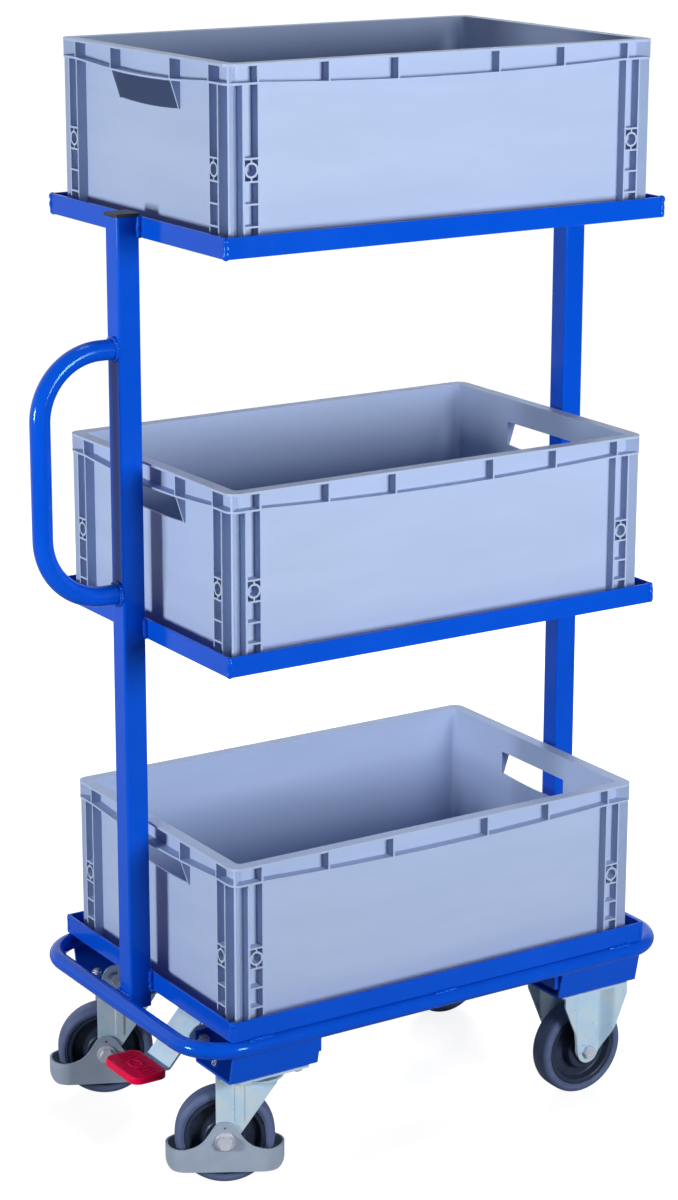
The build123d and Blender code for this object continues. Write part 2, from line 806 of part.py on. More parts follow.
brake_bolts = []
for side in sides.values():
    head_seat = shaft_side.offset(-side * (plate_face - bearing_plate_sheet))
    nut_seat = shaft_side.offset(-side * (plate_face + bracket_sheet))
    with BuildPart() as brake_bolt:
        with BuildSketch(head_seat):
            with Locations((-bearing_plate_reach, bearing_bolt_rise)):
                RegularPolygon(bolt_head_width / 2, 6, major_radius=False)
        extrude(amount=side * bolt_head_height)
        with BuildSketch(head_seat):
            with Locations((-bearing_plate_reach, bearing_bolt_rise)):
                Circle(bolt_diameter / 2)
        extrude(amount=-side * (bearing_plate_sheet + bracket_sheet + nut_height + bolt_tail))
    with BuildPart() as brake_nut:
        with BuildSketch(nut_seat):
            with Locations((-bearing_plate_reach, bearing_bolt_rise)):
                RegularPolygon(bolt_head_width / 2, 6, major_radius=False)
                Circle(bolt_diameter / 2, mode=Mode.SUBTRACT)
        extrude(amount=-side * nut_height)
    brake_bolts += [brake_bolt.part, brake_nut.part]
write_piece(Compound(children=brake_bolts), "brake_plate_bolts")

# Pedal lever: a bent strip under the shaft, with an ear on each edge round it
shaft_radius = shaft_diameter / 2
strip_x = shaft_x + shaft_radius * math.sin(tilt)
strip_z = shaft_height - shaft_radius * math.cos(tilt)
top_x = strip_x + lever_top_run * math.cos(tilt)
top_z = strip_z + lever_top_run * math.sin(tilt)
bend_x = strip_x - (strip_z - tongue_height) / math.tan(tilt)
pedal_outer = shaft_x - pedal_reach
tongue_end = pedal_outer + tongue_stop
strip_side = Plane(shaft_side.origin, x_dir=(math.cos(tilt), 0, math.sin(tilt)), z_dir=shaft_side.z_dir)
with BuildPart() as brake_lever:
    with BuildSketch(Plane((0, 0, 0), x_dir=shaft_side.x_dir, z_dir=shaft_side.z_dir)):
        with BuildLine():
            Polyline((top_x, top_z), (bend_x, tongue_height), (tongue_end, tongue_height))
            offset(amount=lever_sheet, side=Side.LEFT)
        make_face()
    extrude(amount=lever_width / 2, both=True)
    for ear in (lever_width / 2, lever_sheet - lever_width / 2):
        with BuildSketch(strip_side.offset(ear)):
            Circle(lever_ear_radius)
            with Locations((0, -shaft_radius - lever_sheet)):
                Rectangle(
                    2 * lever_ear_radius,
                    2 * lever_ear_radius,
                    align=(Align.CENTER, Align.MIN),
                    mode=Mode.INTERSECT,
                )
            Circle(shaft_radius, mode=Mode.SUBTRACT)
        extrude(amount=-lever_sheet)
write_piece(brake_lever.part, "brake_lever")

# Pedal cover, pushed over the lever's tongue
pedal_top = tongue_height - lever_sheet / 2 + pedal_height / 2
pedal_centre = pedal_outer + pedal_length / 2
with BuildPart() as pedal_cover:
    with BuildSketch(Plane((pedal_centre, 0, pedal_top - pedal_height))):
        RectangleRounded(pedal_length, pedal_width, pedal_corner)
    extrude(amount=pedal_height)
    fillet(pedal_cover.faces().sort_by(Axis.Z)[-1].edges(), pedal_edge)
    with BuildSketch(Plane((pedal_centre, 0, pedal_top))):
        Ellipse(pedal_oval_width / 2, pedal_oval_length / 2)
        Ellipse(
            pedal_oval_width / 2 - pedal_oval_line,
            pedal_oval_length / 2 - pedal_oval_line,
            mode=Mode.SUBTRACT,
        )
        for side in (-1, 1):
            for row in range(pedal_bars):
                with Locations((0, side * (pedal_bar_start + row * pedal_bar_pitch))):
                    SlotOverall(pedal_bar_length, pedal_bar_width)
    extrude(amount=pedal_relief)
    with BuildSketch(Plane((tongue_end - tongue_play, 0, tongue_height - lever_sheet - tongue_play))):
        Rectangle(pedal_length, lever_width + 2 * tongue_play, align=(Align.MIN, Align.CENTER))
    extrude(amount=lever_sheet + 2 * tongue_play, mode=Mode.SUBTRACT)
write_piece(pedal_cover.part, "pedal_cover")


# Euro box: thin wall, rim with a ribbed skirt, ribbed corners, stacking foot and two hand holds
def skirt_bow(half, raised):
    # The bow that the skirt's lip makes below its flat ends
    bow_half = half - skirt_flat_end
    level = raised - skirt_depth_ends
    ThreePointArc((-bow_half, level), (0, raised - skirt_depth_middle), (bow_half, level))
    Polyline(
        (bow_half, level),
        (bow_half, level + skirt_lip),
        (-bow_half, level + skirt_lip),
        (-bow_half, level),
    )


def mirrored(spots):
    return [sign * spot for spot in spots for sign in (-1, 1)]


def make_box():
    rim = box_height - foot_height
    wall_inset = box_rim_width - box_wall
    wall_length = box_length - 2 * wall_inset
    wall_width = box_width - 2 * wall_inset
    wall_corner = box_cavity_corner + box_wall
    wall_middle = wall_inset + box_wall / 2
    fin_start = box_rim_width + box_cavity_corner
    fin_length = math.sqrt(2) * (fin_start - box_corner) + box_corner
    fin_x = box_length / 2 - fin_start
    fin_y = box_width / 2 - fin_start
    rib_depth = wall_inset - rib_inset
    lip_top = rim - skirt_depth_ends + skirt_lip
    rib_top = lip_top - skirt_lip / 2
    hold_top = -skirt_depth_middle - hand_hold_drop
    hold_half = skirt_rib_from_middle - skirt_rib / 2
    gusset_top = skirt_lip - skirt_depth_middle
    ladder_mid = (ladder_inner + ladder_outer) / 2
    ladder_width = ladder_outer - ladder_inner + ladder_rib
    boss_depth = (ladder_steps[0] + ladder_steps[1] - ladder_rib) / 2
    boss_cell = ladder_steps[1] - ladder_steps[0]
    faces = side_planes(box_length, box_width, rim)
    halves = (box_length / 2, box_length / 2, box_width / 2, box_width / 2)
    long_end = box_length / 2 - skirt_rib_from_end
    long_ribs = (skirt_rib_from_middle, (skirt_rib_from_middle + long_end) / 2, long_end)
    short_ribs = (skirt_rib_from_middle, box_width / 2 - skirt_rib_from_end)
    with BuildPart() as box:
        with BuildSketch(Plane((frame_x, 0, 0))):
            RectangleRounded(wall_length, wall_width, wall_corner)
        extrude(amount=rim)
        with BuildSketch(Plane((frame_x, 0, rim))):
            RectangleRounded(box_length, box_width, box_corner)
        extrude(amount=-skirt_depth_ends)
        for face, half in zip(faces, halves):
            with BuildSketch(face):
                with BuildLine():
                    skirt_bow(half, 0)
                make_face()
            extrude(amount=-wall_middle)
        # The skirt's open pockets between its ribs, the corner fins and the lip
        with BuildSketch(Plane((frame_x, 0, lip_top))):
            Rectangle(box_length + box_wall, box_width + box_wall)
            RectangleRounded(wall_length, wall_width, wall_corner, mode=Mode.SUBTRACT)
            for spot in mirrored(long_ribs):
                with Locations((spot, 0)):
                    Rectangle(skirt_rib, 2 * box_width, mode=Mode.SUBTRACT)
            for spot in mirrored(short_ribs):
                with Locations((0, spot)):
                    Rectangle(2 * box_length, skirt_rib, mode=Mode.SUBTRACT)
            for turn in (-1, 1):
                with Locations((fin_x, turn * fin_y), (-fin_x, -turn * fin_y)):
                    Rectangle(2 * fin_length + box_wall, corner_fin, rotation=45 * turn, mode=Mode.SUBTRACT)
        extrude(amount=skirt_depth_ends - skirt_lip - box_rim_thickness, mode=Mode.SUBTRACT)
        for face, half, ribs in zip(faces, halves, (long_ribs, long_ribs, short_ribs, short_ribs)):
            with BuildSketch(face):
                with BuildLine():
                    skirt_bow(half, skirt_lip)
                make_face()
                for spot in mirrored(ribs):
                    with Locations((spot, 0)):
                        Rectangle(skirt_rib, 4 * skirt_depth_middle, mode=Mode.SUBTRACT)
            extrude(amount=-wall_inset, mode=Mode.SUBTRACT)
        # Diagonal corner fins down to the ledge, and the ladder ribs beside them
        with BuildSketch(Plane((frame_x, 0, 0))):
            for turn in (-1, 1):
                with Locations((fin_x, turn * fin_y), (-fin_x, -turn * fin_y)):
                    Rectangle(2 * (fin_length - rib_inset), corner_fin, rotation=45 * turn)
        extrude(amount=rib_top)
        with BuildSketch(Plane((frame_x, 0, 0))):
            for near in (ladder_inner, ladder_outer):
                with GridLocations(box_length - 2 * near, box_width - wall_inset - rib_inset, 2, 2):
                    Rectangle(ladder_rib, rib_depth)
                with GridLocations(box_length - wall_inset - rib_inset, box_width - 2 * near, 2, 2):
                    Rectangle(rib_depth, ladder_rib)
        extrude(amount=rib_top)
        for depth in ladder_steps + (rim,):
            with BuildSketch(Plane((frame_x, 0, rim - depth))):
                with GridLocations(box_length - 2 * ladder_mid, box_width - wall_inset - rib_inset, 2, 2):
                    Rectangle(ladder_width, rib_depth)
                with GridLocations(box_length - wall_inset - rib_inset, box_width - 2 * ladder_mid, 2, 2):
                    Rectangle(rib_depth, ladder_width)
            extrude(amount=ladder_rib)
        for face, half in zip(faces, halves):
            with BuildSketch(face.offset(-wall_inset)):
                for spot in mirrored((half - ladder_mid,)):
                    with Locations((spot, -boss_depth)):
                        Rectangle(ladder_rib, boss_cell)
                        Circle(boss_radius)
                        Circle(boss_bore, mode=Mode.SUBTRACT)
            extrude(amount=rib_depth)
        # Stacking foot below the ledge
        with BuildSketch(Plane((frame_x, 0, -foot_height))):
            RectangleRounded(box_length - 2 * foot_inset, box_width - 2 * foot_inset, foot_corner)
        extrude(amount=foot_height)
        # Hand holds through the two short walls, between gussets that taper down from the skirt
        for face in faces[2:]:
            for spot in mirrored((skirt_rib_from_middle,)):
                foot = face.from_local_coords(Vector(spot, 0, 0))
                with BuildSketch(Plane(foot, x_dir=face.z_dir, z_dir=-face.x_dir)):
                    with BuildLine():
                        Polyline(
                            (-wall_middle, gusset_top),
                            (-rib_inset, gusset_top),
                            (gusset_foot - wall_inset, -hand_hold_depth_ends),
                            (-wall_middle, -hand_hold_depth_ends),
                            close=True,
                        )
                    make_face()
                extrude(amount=skirt_rib / 2, both=True)
            with BuildSketch(face):
                with BuildLine():
                    ThreePointArc(
                        (-hold_half, -hand_hold_depth_ends),
                        (0, -hand_hold_depth_middle),
                        (hold_half, -hand_hold_depth_ends),
                    )
                    Polyline(
                        (hold_half, -hand_hold_depth_ends),
                        (hold_half, hold_top),
                        (-hold_half, hold_top),
                        (-hold_half, -hand_hold_depth_ends),
                    )
                make_face()
            extrude(amount=-box_rim_width, mode=Mode.SUBTRACT)
        with BuildSketch(Plane((frame_x, 0, box_floor))):
            RectangleRounded(
                box_length - 2 * box_rim_width,
                box_width - 2 * box_rim_width,
                box_cavity_corner,
            )
        extrude(amount=box_height, mode=Mode.SUBTRACT)
        with BuildSketch(Plane((frame_x, 0, box_floor - foot_height))):
            RectangleRounded(
                box_length - 2 * (foot_inset + foot_wall),
                box_width - 2 * (foot_inset + foot_wall),
                foot_corner - foot_wall,
            )
        extrude(amount=foot_height, mode=Mode.SUBTRACT)
    return box.part


euro_box = make_box()
box_names = {"base": "bottom_box", "middle": "middle_box", "top": "top_box"}
for shelf, level in load_levels.items():
    write_piece(euro_box.moved(Location((0, 0, level))), box_names[shelf])
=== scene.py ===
import json
import math
import random
import bpy
from mathutils import Matrix, Vector


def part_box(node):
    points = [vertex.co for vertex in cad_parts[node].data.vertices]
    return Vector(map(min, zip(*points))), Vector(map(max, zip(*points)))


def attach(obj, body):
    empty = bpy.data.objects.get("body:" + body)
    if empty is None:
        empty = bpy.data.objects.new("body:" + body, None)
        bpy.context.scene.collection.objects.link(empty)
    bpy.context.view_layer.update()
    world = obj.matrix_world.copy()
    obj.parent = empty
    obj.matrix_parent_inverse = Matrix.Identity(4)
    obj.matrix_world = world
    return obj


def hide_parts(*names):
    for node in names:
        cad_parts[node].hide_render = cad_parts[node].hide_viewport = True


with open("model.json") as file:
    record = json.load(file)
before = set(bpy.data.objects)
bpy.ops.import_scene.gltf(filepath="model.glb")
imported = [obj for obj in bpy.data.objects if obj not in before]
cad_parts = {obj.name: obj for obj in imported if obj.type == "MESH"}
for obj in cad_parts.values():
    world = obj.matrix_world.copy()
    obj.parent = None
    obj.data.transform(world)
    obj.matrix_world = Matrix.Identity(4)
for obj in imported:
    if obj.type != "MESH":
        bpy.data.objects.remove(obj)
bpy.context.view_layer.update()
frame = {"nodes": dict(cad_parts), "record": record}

mm = 0.001  # sizes below are in millimetres, times mm
record = frame["record"]
bodyOf = {node: body for body, nodes in record["behaviour"]["bodies"].items() for node in nodes}
slotOf = {part["node"]: part["material_slot"] for part in record["subparts"]}
joints = {joint["name"]: joint for joint in record["behaviour"]["joints"]}
hands = ("right", "left")
ends = ("handle_end", "far_end")
shelves = ("base", "middle", "top")
casterKinds = ("swivel", "fixed")
sideways = Vector((0, 1, 0))  # the axle of a wheel that points straight ahead

# distances in millimetres, angles in degrees
meshing = {"merge": 0.01, "copyMerge": 0.002, "flatAngle": 0.06, "bevelAngle": 38,
           "copySmooth": 50, "madeSmooth": 40}


def activate(obj):
    if bpy.context.object and bpy.context.object.mode != "OBJECT":
        bpy.ops.object.mode_set(mode="OBJECT")
    bpy.ops.object.select_all(action="DESELECT")
    obj.select_set(True)
    bpy.context.view_layer.objects.active = obj


def openMesh(obj):
    activate(obj)
    bpy.ops.object.mode_set(mode="EDIT")
    bpy.ops.mesh.select_all(action="SELECT")


def closeMesh():
    bpy.ops.object.mode_set(mode="OBJECT")


def mergeClose(distance):
    bpy.ops.mesh.select_all(action="SELECT")
    bpy.ops.mesh.remove_doubles(threshold=distance * mm)


def applyModifier(obj, kind, **settings):
    activate(obj)
    modifier = obj.modifiers.new(kind, kind)
    for key, value in settings.items():
        setattr(modifier, key, value)
    bpy.ops.object.modifier_apply(modifier=modifier.name)


def easeEdges(obj, edge, segments):
    applyModifier(obj, "BEVEL", width=edge * mm, segments=segments, limit_method="ANGLE",
                  angle_limit=math.radians(meshing["bevelAngle"]), use_clamp_overlap=True,
                  face_strength_mode="FSTR_AFFECTED")


def smoothShade(obj, angle):
    activate(obj)
    bpy.ops.object.shade_smooth_by_angle(angle=math.radians(angle))
    # flat faces stay flat
    applyModifier(obj, "WEIGHTED_NORMAL", keep_sharp=True, use_face_influence=True)


def bakePlace(obj):
    obj.data.transform(obj.matrix_basis)  # the place goes into the mesh
    obj.matrix_basis = Matrix.Identity(4)


def placeAt(obj, centre, axle=sideways):
    turn = sideways.rotation_difference(axle)
    obj.matrix_basis = Matrix.Translation(centre) @ turn.to_matrix().to_4x4()
    bakePlace(obj)


def dress(obj, body, slot, *nodes):
    obj.data.materials.clear()
    obj.data.materials.append(finishes[slot])
    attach(obj, body)
    if nodes:
        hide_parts(*nodes)
    return obj


# Materials

noiseReach = (0.3, 0.7)  # nearly all values of a noise field lie between these


def newFinish(name, **sockets):
    finish = bpy.data.materials.new(name)
    finish.use_nodes = True
    shader = finish.node_tree.nodes["Principled BSDF"]
    for key, value in sockets.items():
        shader.inputs[key.replace("_", " ")].default_value = value
    return finish, finish.node_tree, shader


def coordinate(tree, kind):
    return tree.nodes.new("ShaderNodeTexCoord").outputs[kind]


def noiseField(tree, scale, detail=3.0, stretch=(1, 1, 1)):
    mapping = tree.nodes.new("ShaderNodeMapping")
    mapping.inputs["Scale"].default_value = stretch
    noise = tree.nodes.new("ShaderNodeTexNoise")
    noise.inputs["Scale"].default_value = scale
    noise.inputs["Detail"].default_value = detail
    tree.links.new(coordinate(tree, "Object"), mapping.inputs["Vector"])
    tree.links.new(mapping.outputs["Vector"], noise.inputs["Vector"])
    return noise.outputs["Fac"]


def ramp(tree, field, low, high, start, end):
    spread = tree.nodes.new("ShaderNodeMapRange")
    for key, value in (("From Min", low), ("From Max", high), ("To Min", start), ("To Max", end)):
        spread.inputs[key].default_value = value
    tree.links.new(field, spread.inputs["Value"])
    return spread.outputs["Result"]


def colourSpread(tree, shader, field, *colours):
    low, high = noiseReach
    spread = tree.nodes.new("ShaderNodeValToRGB")
    stops = spread.color_ramp.elements
    while len(stops) < len(colours):
        stops.new((low + high) / 2)
    for index, colour in enumerate(colours):
        stops[index].position = low + (high - low) * index / (len(colours) - 1)
        stops[index].color = (*colour, 1)
    tree.links.new(field, spread.inputs["Fac"])
    tree.links.new(spread.outputs["Color"], shader.inputs["Base Color"])


def roughSpread(tree, shader, field, low, high):
    tree.links.new(ramp(tree, field, *noiseReach, low, high), shader.inputs["Roughness"])


def addBump(tree, shader, field, strength, depth):
    bump = tree.nodes.new("ShaderNodeBump")
    bump.inputs["Strength"].default_value = strength
    bump.inputs["Distance"].default_value = depth * mm
    tree.links.new(field, bump.inputs["Height"])
    for link in shader.inputs["Normal"].links:  # a bump that is there already lies beneath
        tree.links.new(link.from_socket, bump.inputs["Normal"])
    tree.links.new(bump.outputs["Normal"], shader.inputs["Normal"])


def bluePaint():
    finish, tree, shader = newFinish("bluePowderCoat", Specular_IOR_Level=0.26,
                                     Specular_Tint=(0.4, 0.9, 1, 1))
    colourSpread(tree, shader, noiseField(tree, scale=9),
                 (0.001, 0.070, 0.57), (0.002, 0.078, 0.62))
    roughSpread(tree, shader, noiseField(tree, scale=45), low=0.1, high=0.16)
    addBump(tree, shader, noiseField(tree, scale=420, detail=2), strength=0.03, depth=0.4)
    addBump(tree, shader, noiseField(tree, scale=1500, detail=2), strength=0.03, depth=0.2)
    return finish


def boxPlastic():
    finish, tree, shader = newFinish("greyBoxPlastic", Specular_IOR_Level=0.25)
    # faint flow lines of the moulding, in colour and as shallow waves
    colourSpread(tree, shader, noiseField(tree, scale=5, detail=4, stretch=(1, 1, 5)),
                 (0.36, 0.455, 0.665), (0.39, 0.485, 0.70))
    roughSpread(tree, shader, noiseField(tree, scale=60, detail=4), low=0.38, high=0.5)
    waves = noiseField(tree, scale=26, detail=3, stretch=(1, 1, 3))
    addBump(tree, shader, waves, strength=0.05, depth=2)
    addBump(tree, shader, noiseField(tree, scale=1400, detail=2), strength=0.08, depth=0.2)
    return finish


def zincSteel():
    finish, tree, shader = newFinish("zincPlate", Metallic=0.35)
    # the passivation goes from bluish to straw
    colourSpread(tree, shader, noiseField(tree, scale=38, detail=4),
                 (0.50, 0.72, 0.92), (0.56, 0.76, 0.93), (0.66, 0.78, 0.86))
    roughSpread(tree, shader, noiseField(tree, scale=90, detail=5), low=0.27, high=0.42)
    brushed = noiseField(tree, scale=700, detail=3, stretch=(1, 1, 0.1))
    addBump(tree, shader, brushed, strength=0.06, depth=0.3)
    return finish


def boltSteel():
    finish, tree, shader = newFinish("brightBolt", Metallic=0.25)
    colourSpread(tree, shader, noiseField(tree, scale=60, detail=3),
                 (0.53, 0.56, 0.66), (0.63, 0.66, 0.76))
    roughSpread(tree, shader, noiseField(tree, scale=140, detail=4), low=0.18, high=0.3)
    addBump(tree, shader, noiseField(tree, scale=800, detail=3), strength=0.06, depth=0.3)
    return finish


def tyreRubber():
    finish, tree, shader = newFinish("greyTyre", Specular_IOR_Level=0.3)
    colourSpread(tree, shader, noiseField(tree, scale=70, detail=5),
                 (0.074, 0.105, 0.215), (0.096, 0.13, 0.255))
    roughSpread(tree, shader, noiseField(tree, scale=160, detail=4), low=0.5, high=0.66)
    addBump(tree, shader, noiseField(tree, scale=900, detail=3), strength=0.16, depth=0.3)
    return finish


def corePlastic():
    finish, tree, shader = newFinish("blackWheelCore", Specular_IOR_Level=0.3)
    colourSpread(tree, shader, noiseField(tree, scale=90, detail=4),
                 (0.016, 0.025, 0.052), (0.026, 0.038, 0.072))
    roughSpread(tree, shader, noiseField(tree, scale=120, detail=3), low=0.3, high=0.42)
    addBump(tree, shader, noiseField(tree, scale=1100, detail=2), strength=0.1, depth=0.2)
    return finish


def guardPlastic():
    finish, tree, shader = newFinish("greyToeGuard", Specular_IOR_Level=0.35)
    colourSpread(tree, shader, noiseField(tree, scale=45, detail=4),
                 (0.275, 0.335, 0.435), (0.31, 0.375, 0.48))
    roughSpread(tree, shader, noiseField(tree, scale=200, detail=3), low=0.5, high=0.62)
    mouldGrain = noiseField(tree, scale=1300, detail=2)
    addBump(tree, shader, mouldGrain, strength=0.25, depth=0.3)
    return finish


def pedalPlastic():
    finish, tree, shader = newFinish("redPedal", Specular_IOR_Level=0.2,
                                     Specular_Tint=(1, 0.4, 0.6, 1))
    colourSpread(tree, shader, noiseField(tree, scale=60, detail=3),
                 (0.72, 0.001, 0.052), (0.82, 0.002, 0.066))
    roughSpread(tree, shader, noiseField(tree, scale=150, detail=3), low=0.26, high=0.4)
    addBump(tree, shader, noiseField(tree, scale=900, detail=2), strength=0.12, depth=0.3)
    return finish


def blackPlastic(name, low, high):
    finish, tree, shader = newFinish(name, Specular_IOR_Level=0.3)
    colourSpread(tree, shader, noiseField(tree, scale=80, detail=3),
                 (0.012, 0.012, 0.014), (0.022, 0.022, 0.025))
    roughSpread(tree, shader, noiseField(tree, scale=170, detail=3), low, high)
    addBump(tree, shader, noiseField(tree, scale=1200, detail=2), strength=0.2, depth=0.3)
    return finish


def nylon():
    finish, tree, shader = newFinish("nylonBearing", Subsurface_Weight=0.1,
                                     Subsurface_Scale=2 * mm)
    colourSpread(tree, shader, noiseField(tree, scale=60, detail=3),
                 (0.035, 0.037, 0.045), (0.05, 0.052, 0.06))
    roughSpread(tree, shader, noiseField(tree, scale=150, detail=3), low=0.4, high=0.5)
    return finish


finishes = {
    "blue_paint": bluePaint(),
    "zinc_steel": zincSteel(),
    "box_plastic": boxPlastic(),
    "tyre_rubber": tyreRubber(),
    "core_plastic": corePlastic(),
    "bearing_plastic": nylon(),
    "guard_plastic": guardPlastic(),
    # the race seal is a real ring, but its near-black colour is also painted shade for the dark gap
    # under the swivel plate
    "race_seal": blackPlastic("sealRingPaintedShade", low=0.5, high=0.62),
    "pedal_plastic": pedalPlastic(),
    "cap_plastic": blackPlastic("postCapPlastic", low=0.4, high=0.52),
}
boltFinish = boltSteel()  # bolts and nuts are brighter than the pressed zinc sheet
print("finishes done")


# Solid pieces get a finished copy with eased edges

easedEdges = {  # edge radius in millimetres
    "rails": 0.8,
    "posts": 0.5,
    "tubes": 0.4,
    "brackets": 0.7,
    "caps": 0.7,
    "boxes": 0.5,
    "forks": 0.6,
    "bolts": 0.5,
    "plates": 0.5,
    "pedal": 0.6,
}


def finishedCopy(node, edge):
    obj = bpy.data.objects.new(f"{node}_finish", frame["nodes"][node].data.copy())
    bpy.context.scene.collection.objects.link(obj)
    openMesh(obj)
    mergeClose(meshing["copyMerge"])
    bpy.ops.mesh.dissolve_limited(angle_limit=math.radians(meshing["flatAngle"]))
    closeMesh()
    easeEdges(obj, edge, segments=2)
    smoothShade(obj, meshing["copySmooth"])
    return dress(obj, bodyOf[node], slotOf[node], node)


def boltCopy(node):
    finishedCopy(node, easedEdges["bolts"]).data.materials[0] = boltFinish


for shelf in shelves:
    for side in hands + ends:
        finishedCopy(f"{shelf}_{side}_rail", easedEdges["rails"])
for node in ("handle_post", "far_post"):
    finishedCopy(node, easedEdges["posts"])
for node in ("push_handle", "bumper_ring"):
    finishedCopy(node, easedEdges["tubes"])
finishedCopy("post_caps", easedEdges["caps"])
finishedCopy("base_cross_bars", easedEdges["brackets"])
for hand in hands:
    for kind in casterKinds:
        finishedCopy(f"{hand}_{kind}_bracket", easedEdges["brackets"])
print("frame copies done")

for node in ("bottom_box", "middle_box", "top_box"):
    finishedCopy(node, easedEdges["boxes"])
print("box copies done")

for hand in hands:
    finishedCopy(f"{hand}_swivel_fork", easedEdges["forks"])
    boltCopy(f"{hand}_swivel_axle")
    for piece in ("swivel_plate", "swivel_race", "kingpin", "brake_plunger",
                  "swivel_wheel_bearing", "fixed_wheel_bearing"):
        finishedCopy(f"{hand}_{piece}", easedEdges["plates"])
for node in ("fixed_axles", "caster_fasteners", "brake_plate_bolts"):
    boltCopy(node)
for node in ("brake_shaft", "brake_bearing_plates", "brake_lever"):
    finishedCopy(node, easedEdges["plates"])
finishedCopy("pedal_cover", easedEdges["pedal"])
print("caster and brake copies done")


# Toe guards: a closed band round each swivel wheel, with a rounded hump over the axle

wheelSize = {"radius": 62.5, "spinSteps": 96}
hole = {"sides": 32, "reach": 100.0, "slack": 0.01}
guard = {"half": 74.0, "side": 28.0, "wall": 2.7, "foot": 21.0, "footCorner": 12.0,
         "valley": 48.6, "hump": 39.4, "flank": 21.8, "steep": 3.2, "endRise": 1.6,
         "endStart": 56.0, "edge": 0.9, "edgeSteps": 3, "endSteps": 20, "merge": 0.05,
         "cuts": 90, "lift": 20.0, "axleHole": 10.5, "axleDrop": 9.0, "pinHole": 3.0,
         "pinHeight": 80.0}


def guardTop(along):
    bell = guard["hump"] / (1 + (abs(along) / guard["flank"]) ** guard["steep"])
    rise = max(0.0, abs(along) - guard["endStart"]) / (guard["half"] - guard["endStart"])
    return guard["valley"] + bell + guard["endRise"] * rise * rise


def guardFoot(along):
    corner = guard["footCorner"]
    past = min(corner, max(0.0, abs(along) - guard["half"] + corner))
    return guard["foot"] + corner - math.sqrt(corner ** 2 - past ** 2)


def edgeSpan(obj, edge):
    first, second = (obj.data.vertices[index].co for index in edge.vertices)
    return first - second


def crossHole(obj, diameter, height, drop=0.0):
    # a drop makes a slot that reaches down past the round hole
    bpy.ops.mesh.primitive_cylinder_add(vertices=hole["sides"], radius=diameter / 2 * mm,
                                        depth=hole["reach"] * mm, rotation=(math.pi / 2, 0, 0))
    cutter = bpy.context.object
    bakePlace(cutter)
    for vertex in cutter.data.vertices:
        if vertex.co.z < -hole["slack"] * mm:
            vertex.co.z -= drop * mm
        vertex.co.z += height * mm
    applyModifier(obj, "BOOLEAN", operation="DIFFERENCE", solver="EXACT", object=cutter)
    bpy.data.objects.remove(cutter)


def toeGuard(name):
    bpy.ops.mesh.primitive_plane_add(size=2 * mm)
    obj = bpy.context.object
    obj.name = name
    openMesh(obj)
    bpy.ops.transform.resize(value=(guard["half"], guard["side"], 1))
    bpy.ops.mesh.bevel(offset=guard["side"] * mm, segments=guard["endSteps"], affect="VERTICES",
                       clamp_overlap=False)
    mergeClose(guard["merge"])
    bpy.ops.mesh.delete(type="ONLY_FACE")
    bpy.ops.mesh.select_all(action="DESELECT")
    closeMesh()
    for edge in obj.data.edges:  # the two straight sides
        edge.select = edgeSpan(obj, edge).length > guard["side"] * mm
    bpy.ops.object.mode_set(mode="EDIT")
    bpy.ops.mesh.select_mode(type="EDGE")
    bpy.ops.mesh.subdivide(number_cuts=guard["cuts"])
    bpy.ops.mesh.select_all(action="SELECT")
    bpy.ops.mesh.extrude_edges_move(TRANSFORM_OT_translate={"value": (0, 0, guard["lift"] * mm)})
    closeMesh()
    for vertex in obj.data.vertices:
        height = guardTop if vertex.co.z > guard["lift"] / 2 * mm else guardFoot
        vertex.co.z = height(vertex.co.x / mm) * mm
    openMesh(obj)
    bpy.ops.mesh.normals_make_consistent(inside=False)
    bpy.ops.mesh.select_mode(type="VERT")
    closeMesh()
    face = obj.data.polygons[0]
    outwards = face.normal.x * face.center.x + face.normal.y * face.center.y > 0
    applyModifier(obj, "SOLIDIFY", thickness=guard["wall"] * mm, offset=-1 if outwards else 1,
                  use_even_offset=True)
    crossHole(obj, guard["axleHole"], wheelSize["radius"], guard["axleDrop"])
    crossHole(obj, guard["pinHole"], guard["pinHeight"])
    easeEdges(obj, guard["edge"], guard["edgeSteps"])
    openMesh(obj)
    bpy.ops.mesh.normals_make_consistent(inside=False)
    closeMesh()
    return obj


for hand in hands:
    roll = joints[f"{hand}_swivel_wheel_roll"]
    obj = toeGuard(f"{hand}_toe_guard_finish")
    placeAt(obj, (roll["pos_m"][0], roll["pos_m"][1], 0), Vector(roll["axis"]).normalized())
    smoothShade(obj, meshing["madeSmooth"])
    dress(obj, f"{hand}_swivel", "guard_plastic", f"{hand}_toe_guard")
print("toe guards done")


# Fixed forks: a plate with two cheeks, each with a panel drawn in towards the wheel and wings
# that flare out

fixedFork = {"length": 105.0, "width": 85.0, "top": 155.5, "sheet": 3.0, "corner": 6.0,
             "cornerSteps": 6, "edge": 0.6, "edgeSteps": 2, "end": 16.0, "half": 50.0,
             "shoulder": 140.0, "panel": 26.2, "panelHalf": 14.0, "wingHalf": 33.0,
             "columns": 56, "rows": 64, "crowding": 1.6, "axleHole": 10.5, "inset": 0.4}


def cheekHalf(height):
    # the taper runs from the shoulder to where it touches the round end
    end, half, above = fixedFork["end"], fixedFork["half"], height - wheelSize["radius"]
    shoulder = fixedFork["shoulder"] - wheelSize["radius"]
    touch = math.atan2(shoulder, half) - math.acos(end / math.hypot(half, shoulder))
    touchHalf, touchAbove = end * math.cos(touch), end * math.sin(touch)
    if above < touchAbove:
        return math.sqrt(max(0.0, end ** 2 - above ** 2))
    return touchHalf + (half - touchHalf) * min(1.0, (above - touchAbove) / (shoulder - touchAbove))


